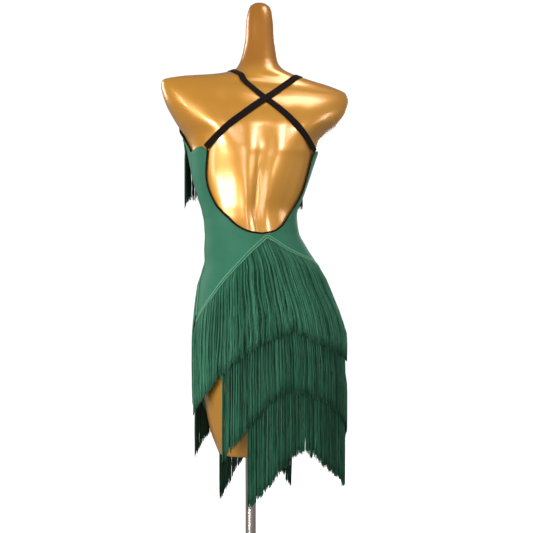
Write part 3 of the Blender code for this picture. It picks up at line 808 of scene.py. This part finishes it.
def make_band(name, centre, out, width, profile, material, slot, *nodes):
    """A band whose section is (share of the half-width, height) points, anticlockwise seen along its run."""
    run = unit(np.gradient(centre, axis=0))
    across = unit(np.cross(run, out))
    lift = unit(np.cross(across, run))
    length = np.concatenate([[0], np.cumsum(np.linalg.norm(np.diff(centre, axis=0), axis=1))])
    shares = np.array([point[0] for point in profile]) * width / 2
    heights = np.array([point[1] for point in profile])
    points = centre[:, None] + across[:, None] * shares[:, None] + lift[:, None] * heights[:, None]
    rows, columns = len(centre), len(profile)
    start = np.arange(columns)[None, :]
    end = (rows - 1) * columns + np.arange(columns)[::-1][None, :]
    faces = [grid_faces(rows, columns, ring=True), start, end]
    attributes = {"run": np.repeat(length, columns), "across": np.tile(shares, rows)}
    return new_piece(name, points, faces, material, slot, *nodes, attributes=attributes)


def flat_profile(thickness, round_share=0.12):
    """The section of a flat band with rounded edges."""
    flat = 1.0 - round_share
    upper = [(-1.0, thickness * 0.5)]
    upper += [(share, thickness) for share in (-flat, -0.5, 0.0, 0.5, flat)]
    upper += [(1.0, thickness * 0.5)]
    lower = [(share, 0.0) for share in (flat, 0.0, -flat)]
    return (upper + lower)[::-1]


def braid_profile(thickness):
    """The section of a header tape: a cord along each edge and a thinner middle."""
    cord = thickness * 1.25
    left = [(-1.0, thickness * 0.5), (-0.85, cord), (-0.60, cord), (-0.42, thickness * 0.55)]
    right = [(-share, height) for share, height in left[::-1]]
    upper = left + [(0.0, thickness * 0.75)] + right
    lower = [(0.85, 0.0), (0.0, 0.0), (-0.85, 0.0)]
    return (upper + lower)[::-1]


def taut(line):
    """A line of points with its small bends pulled out, as stretched elastic lies."""
    window = np.hanning(2 * STRAP_TAUT + 3)[1:-1]
    window /= window.sum()
    before = 2 * line[0] - line[STRAP_TAUT:0:-1]
    after = 2 * line[-1] - line[-2:-STRAP_TAUT - 2:-1]
    padded = np.concatenate([before, line, after])
    return np.stack([np.convolve(padded[:, i], window, mode="valid") for i in range(3)], axis=1)


def make_strap(name, route, material, node):
    """A strap sewn down at both ends, resting on the bare form between them."""
    at = np.linspace(0, len(route) - 1, STRAP_POINTS)
    index = np.arange(len(route))
    angle, z, lift = (
        smooth_values(index, [getattr(row, key) for row in route], at) for key in RoutePoint._fields
    )
    share = np.linspace(0, 1, len(at))
    sewn = 1 - ease(share / STRAP_SEWN) + ease((share - 1 + STRAP_SEWN) / STRAP_SEWN)
    bare = relief(z, angle) + STRAP_REST
    out = bare + (PANEL_FACE + TAPE_GAP - bare) * sewn + STRAP_CROSSING_LIFT * lift
    centre = taut(surface_points(z, angle, out))
    return make_band(
        name, centre, taut(normals_at(z, angle)), STRAP_WIDTH, flat_profile(STRAP_THICKNESS), material,
        "black_elastic", node,
    )


def offset_band(name, z, angle, base_out, aside, width, profile, material, slot, node, level=HIP_LEVEL):
    """A band beside a line of places on the dress, on the left of the way that it runs."""
    line = hanging_points(z, angle, base_out, level)
    out = normals_at(np.maximum(z, level), angle)
    left = unit(np.cross(out, unit(np.gradient(line, axis=0))))
    return make_band(name, line + left * (aside + width / 2), out, width, profile, material, slot, node)


def make_binding(name, z, angle, material, node):
    profile = flat_profile(CLOTH * 1.5, 0.3)
    return offset_band(
        name, z, angle, CLOTH_CLEARANCE, SEAM_GAP / 2, BINDING_WIDTH, profile, material, "black_elastic", node
    )


def make_bindings(material):
    """The elastic round the open back first, then on the armholes and the front neck."""
    rises = (np.arange(BINDING_POINTS) / (BINDING_POINTS - 1)) ** ROW_CROWDING
    angle = opening_angle(OPENING_BOTTOM + (WING_TOP - OPENING_BOTTOM) * rises)
    z = OPENING_BOTTOM + (height_on(WING_EDGE, angle) - OPENING_BOTTOM) * rises
    angles = np.concatenate([-angle[::-1], angle[1:]])
    heights = np.concatenate([z[::-1], z[1:]])
    made = [make_binding("binding_back", heights, angles, material, "back_binding")]
    stretches = (
        ("armhole_binding_right", SIDE_SEAM + 0.5, 180 - STRAP_FRONT_DEG),
        ("neck_binding", 180 - NECK_DEG, 180 + NECK_DEG),
        ("armhole_binding_left", 180 + STRAP_FRONT_DEG, 360 - SIDE_SEAM - 0.5),
    )
    for node, start, end in stretches:
        angles = np.linspace(start, end, EDGE_POINTS)
        made.append(make_binding("elastic_" + node, front_edge_height(angles), angles, material, node))
    return made


def make_tape(name, edge, material, node, level=HIP_LEVEL):
    angles = np.linspace(edge[0].angle, edge[-1].angle, BRAID_POINTS)
    return offset_band(
        name, height_on(edge, angles), angles, PANEL_FACE + BRAID_GAP, 0.0, TAPE_WIDTH,
        braid_profile(BRAID_THICKNESS), material, "green_tape", node, level,
    )


# ---------------------------------------------------------------- fringe

Fringe = namedtuple("Fringe", "node edge beneath length level count wave tuft tone")


def drifting(rng, count, reach):
    """Values that drift from one tuft to the next, about 1 in size."""
    values = rng.normal(size=count + 2 * reach)
    window = np.hanning(2 * reach + 1)
    values = np.convolve(values, window / np.sqrt((window**2).sum()), mode="valid")
    return values[:count]


def layers_beneath(tapes, z, angle):
    """How many of the fringes on these tapes lie beneath a fringe here."""
    layers = np.zeros(np.broadcast(z, angle).shape)
    for edge in tapes:
        beyond = np.maximum(np.maximum(edge[0].angle - angle, angle - edge[-1].angle), 0.0)
        above = z - height_on(edge, angle) - LAYER_LEAD
        layers += ease(1 - beyond / LAYER_FADE_DEG) * ease(1 - above / FRINGE_RAMP)
    return layers


def strand_tubes(centre, outward, radius, twist):
    """The points and faces of a closed tube along each row of points."""
    run = unit(np.gradient(centre, axis=1))
    across = unit(np.cross(run, outward))
    lift = np.cross(across, run)
    rings = []
    for side in range(STRAND_SIDES):
        around = twist + 2 * math.pi * side / STRAND_SIDES
        aside = np.cos(around)[..., None] * across + np.sin(around)[..., None] * lift
        rings.append(centre + radius[..., None] * aside)
    corners = np.arange(STRAND_SIDES)
    starts = np.arange(len(centre))[:, None] * (STRAND_STEPS + 1) * STRAND_SIDES
    tube = grid_faces(STRAND_STEPS + 1, STRAND_SIDES, ring=True)
    sides = (tube[None] + starts[..., None]).reshape(-1, 4)
    root = starts + corners[None, :]
    tip = starts + STRAND_STEPS * STRAND_SIDES + corners[::-1][None, :]
    return np.stack(rings, axis=2).reshape(-1, 3), [sides, root, tip]


def make_fringe(fringe, material, seed):
    """One tier of loose strands as a joined mesh of thin tubes: tufts outside, and strands in their shade."""
    rng = np.random.default_rng(seed)
    count = fringe.count
    fine = np.linspace(fringe.edge[0].angle, fringe.edge[-1].angle, 400)
    tape = hanging_points(height_on(fringe.edge, fine), fine, PANEL_FACE, fringe.level)
    flat = tape * (1, 1, 0)
    length = np.concatenate([[0], np.cumsum(np.linalg.norm(np.diff(flat, axis=0), axis=1))])
    spacing = (length[-1] - 2 * END_MARGIN) / count
    place = (np.arange(count) + rng.uniform(0, 1, count)) * spacing + END_MARGIN

    tufts = max(int(length[-1] / TUFT_PITCH), 4)
    jitter = rng.uniform(-TUFT_JITTER, TUFT_JITTER, tufts)
    middles = (np.arange(tufts) + 0.5 + jitter) * length[-1] / tufts
    tuft = np.abs(place[:, None] - middles[None, :]).argmin(1)
    shaded = rng.uniform(0, 1, count) < SHADED_STRANDS
    uneven = 1 + TUFT_CUT * rng.normal(size=tufts)[tuft] + STRAND_CUT * rng.normal(size=count)
    cut = np.minimum(fringe.length * uneven, fringe.length * LONGEST_CUT)
    cut = cut - np.where(shaded, SHADED_SHORTER, 0.0)

    share = np.linspace(0, 1, STRAND_STEPS + 1)[None, :]
    drop = cut[:, None] * share
    angle = np.interp(place, length, fine)
    top = height_on(fringe.edge, angle)[:, None] + ROOT_ABOVE_TAPE
    pull = np.where(shaded, 0.1, fringe.tuft) * rng.uniform(0.6, 1.1, count)
    gather = (middles[tuft] - place)[:, None] * pull[:, None] * ease(drop / GATHER_DROP)

    # A tuft sways as one, and each of its strands wavers and leans a little by itself
    turns = (1.7 + 0.45 * drifting(rng, tufts, 4))[tuft][:, None]
    phase = (1.6 * drifting(rng, tufts, 4))[tuft][:, None]
    size = (fringe.wave * (0.5 + 0.5 * np.abs(rng.normal(size=tufts))))[tuft][:, None]
    sway = size * np.sin(2 * math.pi * turns * share + phase) * share**0.5
    own_turns = rng.uniform(1.5, 3.5, count)[:, None]
    own_phase = rng.uniform(0, 6.3, count)[:, None]
    waver = STRAND_WAVER * np.sin(2 * math.pi * own_turns * share + own_phase)
    lean = (TUFT_LEAN * drifting(rng, tufts, 14))[tuft][:, None]
    lean = lean + STRAND_LEAN * rng.normal(size=count)[:, None]
    sideways = place[:, None] + gather + sway + waver * share + lean * drop
    turn = np.interp(np.clip(sideways, END_MARGIN, length[-1] - END_MARGIN), length, fine)

    # A tuft is round: its middle strands stand out furthest, and those in shade lie behind all of them
    round_share = 1 - np.clip(np.abs(middles[tuft] - place) / (0.5 * TUFT_PITCH), 0, 1) ** 2
    behind = rng.uniform(0.0, 0.3, count)
    depth = np.where(shaded, behind, 0.3 + 0.7 * round_share * rng.uniform(0.55, 1, count))
    z = top - drop
    settle = ease(drop / SETTLE_DROP)
    start = PANEL_FACE + ROOT_GAP
    clear = PANEL_FACE + TAPE_GAP + CLEAR_GAP + FRINGE_LAYER * layers_beneath(fringe.beneath, z, turn)
    out = start + (clear - start) * settle + depth[:, None] * (ROOT_DEPTH + TUFT_DEPTH * settle)
    centre = hanging_points(z, turn, out, fringe.level)
    outward = normals_at(np.maximum(z, fringe.level), turn)

    tips = share > TIP_SHARE
    radius = STRAND_RADIUS * rng.uniform(0.8, 1.25, count)[:, None] * np.where(tips, TIP_RADIUS, 1.0)
    twist = rng.uniform(0, 2 * math.pi, count)[:, None]
    verts, faces = strand_tubes(centre, outward, radius, twist)
    # Random dye by tuft and strand, over each tier's level, which painted shade makes darker on the lower
    # tiers
    tone = fringe.tone + TUFT_TONE * rng.normal(size=tufts)[tuft] + STRAND_TONE * rng.normal(size=count)
    # Painted shade and highlight: strands deeper in a tuft are darker, those standing out lighter
    tone = tone + DEPTH_PAINTED_SHADE * (depth - 0.5)
    # Painted shade on the strands in shade, and a painted highlight on the tips
    tone = np.clip(np.where(shaded, SHADED_TONE * tone, tone), 0, 1)[:, None] + TIP_PAINTED_HIGHLIGHT * tips
    attributes = {"tone": np.repeat(tone.ravel(), STRAND_SIDES), "run": np.repeat(drop.ravel(), STRAND_SIDES)}
    return new_piece(
        "strands_" + fringe.node, verts, faces, material, "green_fringe", fringe.node, attributes=attributes
    )


# ---------------------------------------------------------------- stage, lights and camera

def make_stage():
    """A white floor and a world that is white to the camera and grey as a light."""
    bpy.ops.mesh.primitive_plane_add(size=24.0, location=(0, 0, 0))
    floor = bpy.context.object
    floor.name = "studio_floor"
    shader = Shader("studio_floor", 0.9)
    shader.principled.inputs["Emission Color"].default_value = (1, 1, 1, 1)
    shader.principled.inputs["Emission Strength"].default_value = 0.88
    cloud = shader.noise(2.0, 1.0)
    shader.colour(shader.ramp(cloud, (0.4, linear(243, 243, 242)), (0.6, linear(247, 247, 246))))
    floor.data.materials.append(shader.material)
    floor.visible_glossy = False
    floor.visible_diffuse = False
    world = bpy.data.worlds.new("studio")
    bpy.context.scene.world = world
    world.use_nodes = True
    nodes, links = world.node_tree.nodes, world.node_tree.links
    background = nodes["Background"]
    path = nodes.new("ShaderNodeLightPath")
    mix = nodes.new("ShaderNodeMix")
    mix.data_type = "RGBA"
    mix.inputs[6].default_value = (0.20, 0.20, 0.20, 1)
    mix.inputs[7].default_value = (1.05, 1.05, 1.05, 1)
    links.new(path.outputs["Is Camera Ray"], mix.inputs[0])
    links.new(mix.outputs[2], background.inputs["Color"])


def add_light(name, place, aim, width, height, power_watts, diffuse=True, glossy=True):
    """An area light, which can be left out of matt surfaces' light or out of reflections."""
    data = bpy.data.lights.new(name, "AREA")
    data.shape = "RECTANGLE"
    data.size = width
    data.size_y = height
    data.energy = power_watts
    light = bpy.data.objects.new(name, data)
    light.visible_camera = False
    light.visible_diffuse = diffuse
    light.visible_glossy = glossy
    light.location = place
    light.rotation_euler = (Vector(aim) - Vector(place)).to_track_quat("-Z", "Y").to_euler()
    bpy.context.scene.collection.objects.link(light)


def make_lights():
    add_light("key_left", (2.2, 1.7, 1.25), (0, 0, 1.15), 1.1, 1.9, 50, glossy=False)
    add_light("back_soft", (0.5, 2.9, 2.1), (0, 0, 1.15), 1.2, 0.8, 10, glossy=False)
    add_light("fill_right", (-2.1, 1.2, 2.2), (0, 0, 1.15), 0.7, 1.4, 8, glossy=False)
    add_light("sheen_left", (2.55, 1.15, 1.10), (0, 0, 1.12), 0.36, 1.30, 10, diffuse=False)
    add_light("sheen_right", (-2.25, 1.10, 1.30), (0, 0, 1.20), 0.26, 0.70, 4, diffuse=False)
    add_light("sheen_blade", (1.70, 1.85, 0.30), (0.1, 0, 1.25), 0.95, 0.56, 32, diffuse=False)
    add_light("sheen_centre", (-1.13, 2.67, 1.30), (0, 0, 1.24), 0.60, 0.34, 12, diffuse=False)
    add_light("sheen_spine", (0.38, 2.83, 0.72), (0, 0, 1.10), 0.30, 0.80, 6, diffuse=False)
    add_light("top_right", (-1.3, 1.1, 3.4), (-0.1, 0, 1.28), 1.20, 0.90, 19)
    add_light("front_left", (1.8, -2.0, 1.8), (0, 0, 1.0), 1.0, 1.6, 22)
    add_light("front_right", (-1.8, -2.0, 1.6), (0, 0, 1.0), 0.8, 1.6, 16)


def make_camera():
    data = bpy.data.cameras.new("camera")
    data.lens = CAMERA_LENS
    data.sensor_width = 36.0
    camera = bpy.data.objects.new("camera", data)
    toward = Vector((math.sin(VIEW_TURN), math.cos(VIEW_TURN), 0))
    right = Vector((-math.cos(VIEW_TURN), math.sin(VIEW_TURN), 0))
    target = right * CAMERA_ASIDE + Vector((0, 0, CAMERA_HEIGHT))
    camera.location = target + toward * CAMERA_DISTANCE
    camera.rotation_euler = (-toward).to_track_quat("-Z", "Y").to_euler()
    bpy.context.scene.collection.objects.link(camera)
    bpy.context.scene.camera = camera


def main():
    make_camera()
    make_stage()
    make_lights()
    bpy.context.scene.view_settings.view_transform = "Standard"

    jersey, strand, tape = make_jersey(), make_fringe_material(), make_tape_material()
    elastic, gold, steel = make_elastic(), make_gold(), make_steel()
    make_form(gold)
    finish_stand(steel)

    back = make_back_panel(jersey)
    front = make_front_panel(jersey)
    bindings = make_bindings(elastic)
    straps = [
        make_strap("strap_elastic_right", RIGHT_STRAP, elastic, "strap_right"),
        make_strap("strap_elastic_left", LEFT_STRAP, elastic, "strap_left"),
    ]

    tapes, fringes = {"back": [], "front": []}, {"back": [], "front": []}
    seed = SEED
    for side, edges in (("back", BACK_TAPES), ("front", FRONT_TAPES)):
        for i, (edge, tier) in enumerate(zip(edges, TIERS)):
            name = f"{side}_tape_{i + 1}"
            tapes[side].append(make_tape("braid_" + name, edge, tape, name))
            strands = getattr(tier, side + "_strands")
            fringe = Fringe(
                f"{side}_fringe_{i + 1}", edge, edges[i + 1:], SKIRT_FRINGE, HIP_LEVEL, strands,
                tier.wave, tier.tuft, tier.tone,
            )
            seed += 1
            fringes[side].append(make_fringe(fringe, strand, seed))
    bust_tape = make_tape("braid_bust_tape", BUST_TAPE, tape, "bust_tape", BUST_LEVEL)
    bust_fringe = Fringe(
        "bust_fringe", BUST_TAPE, (), BUST_FRINGE, BUST_LEVEL, BUST_TIER.front_strands,
        BUST_TIER.wave, BUST_TIER.tuft, BUST_TIER.tone,
    )
    bust = make_fringe(bust_fringe, strand, seed + 1)


main()
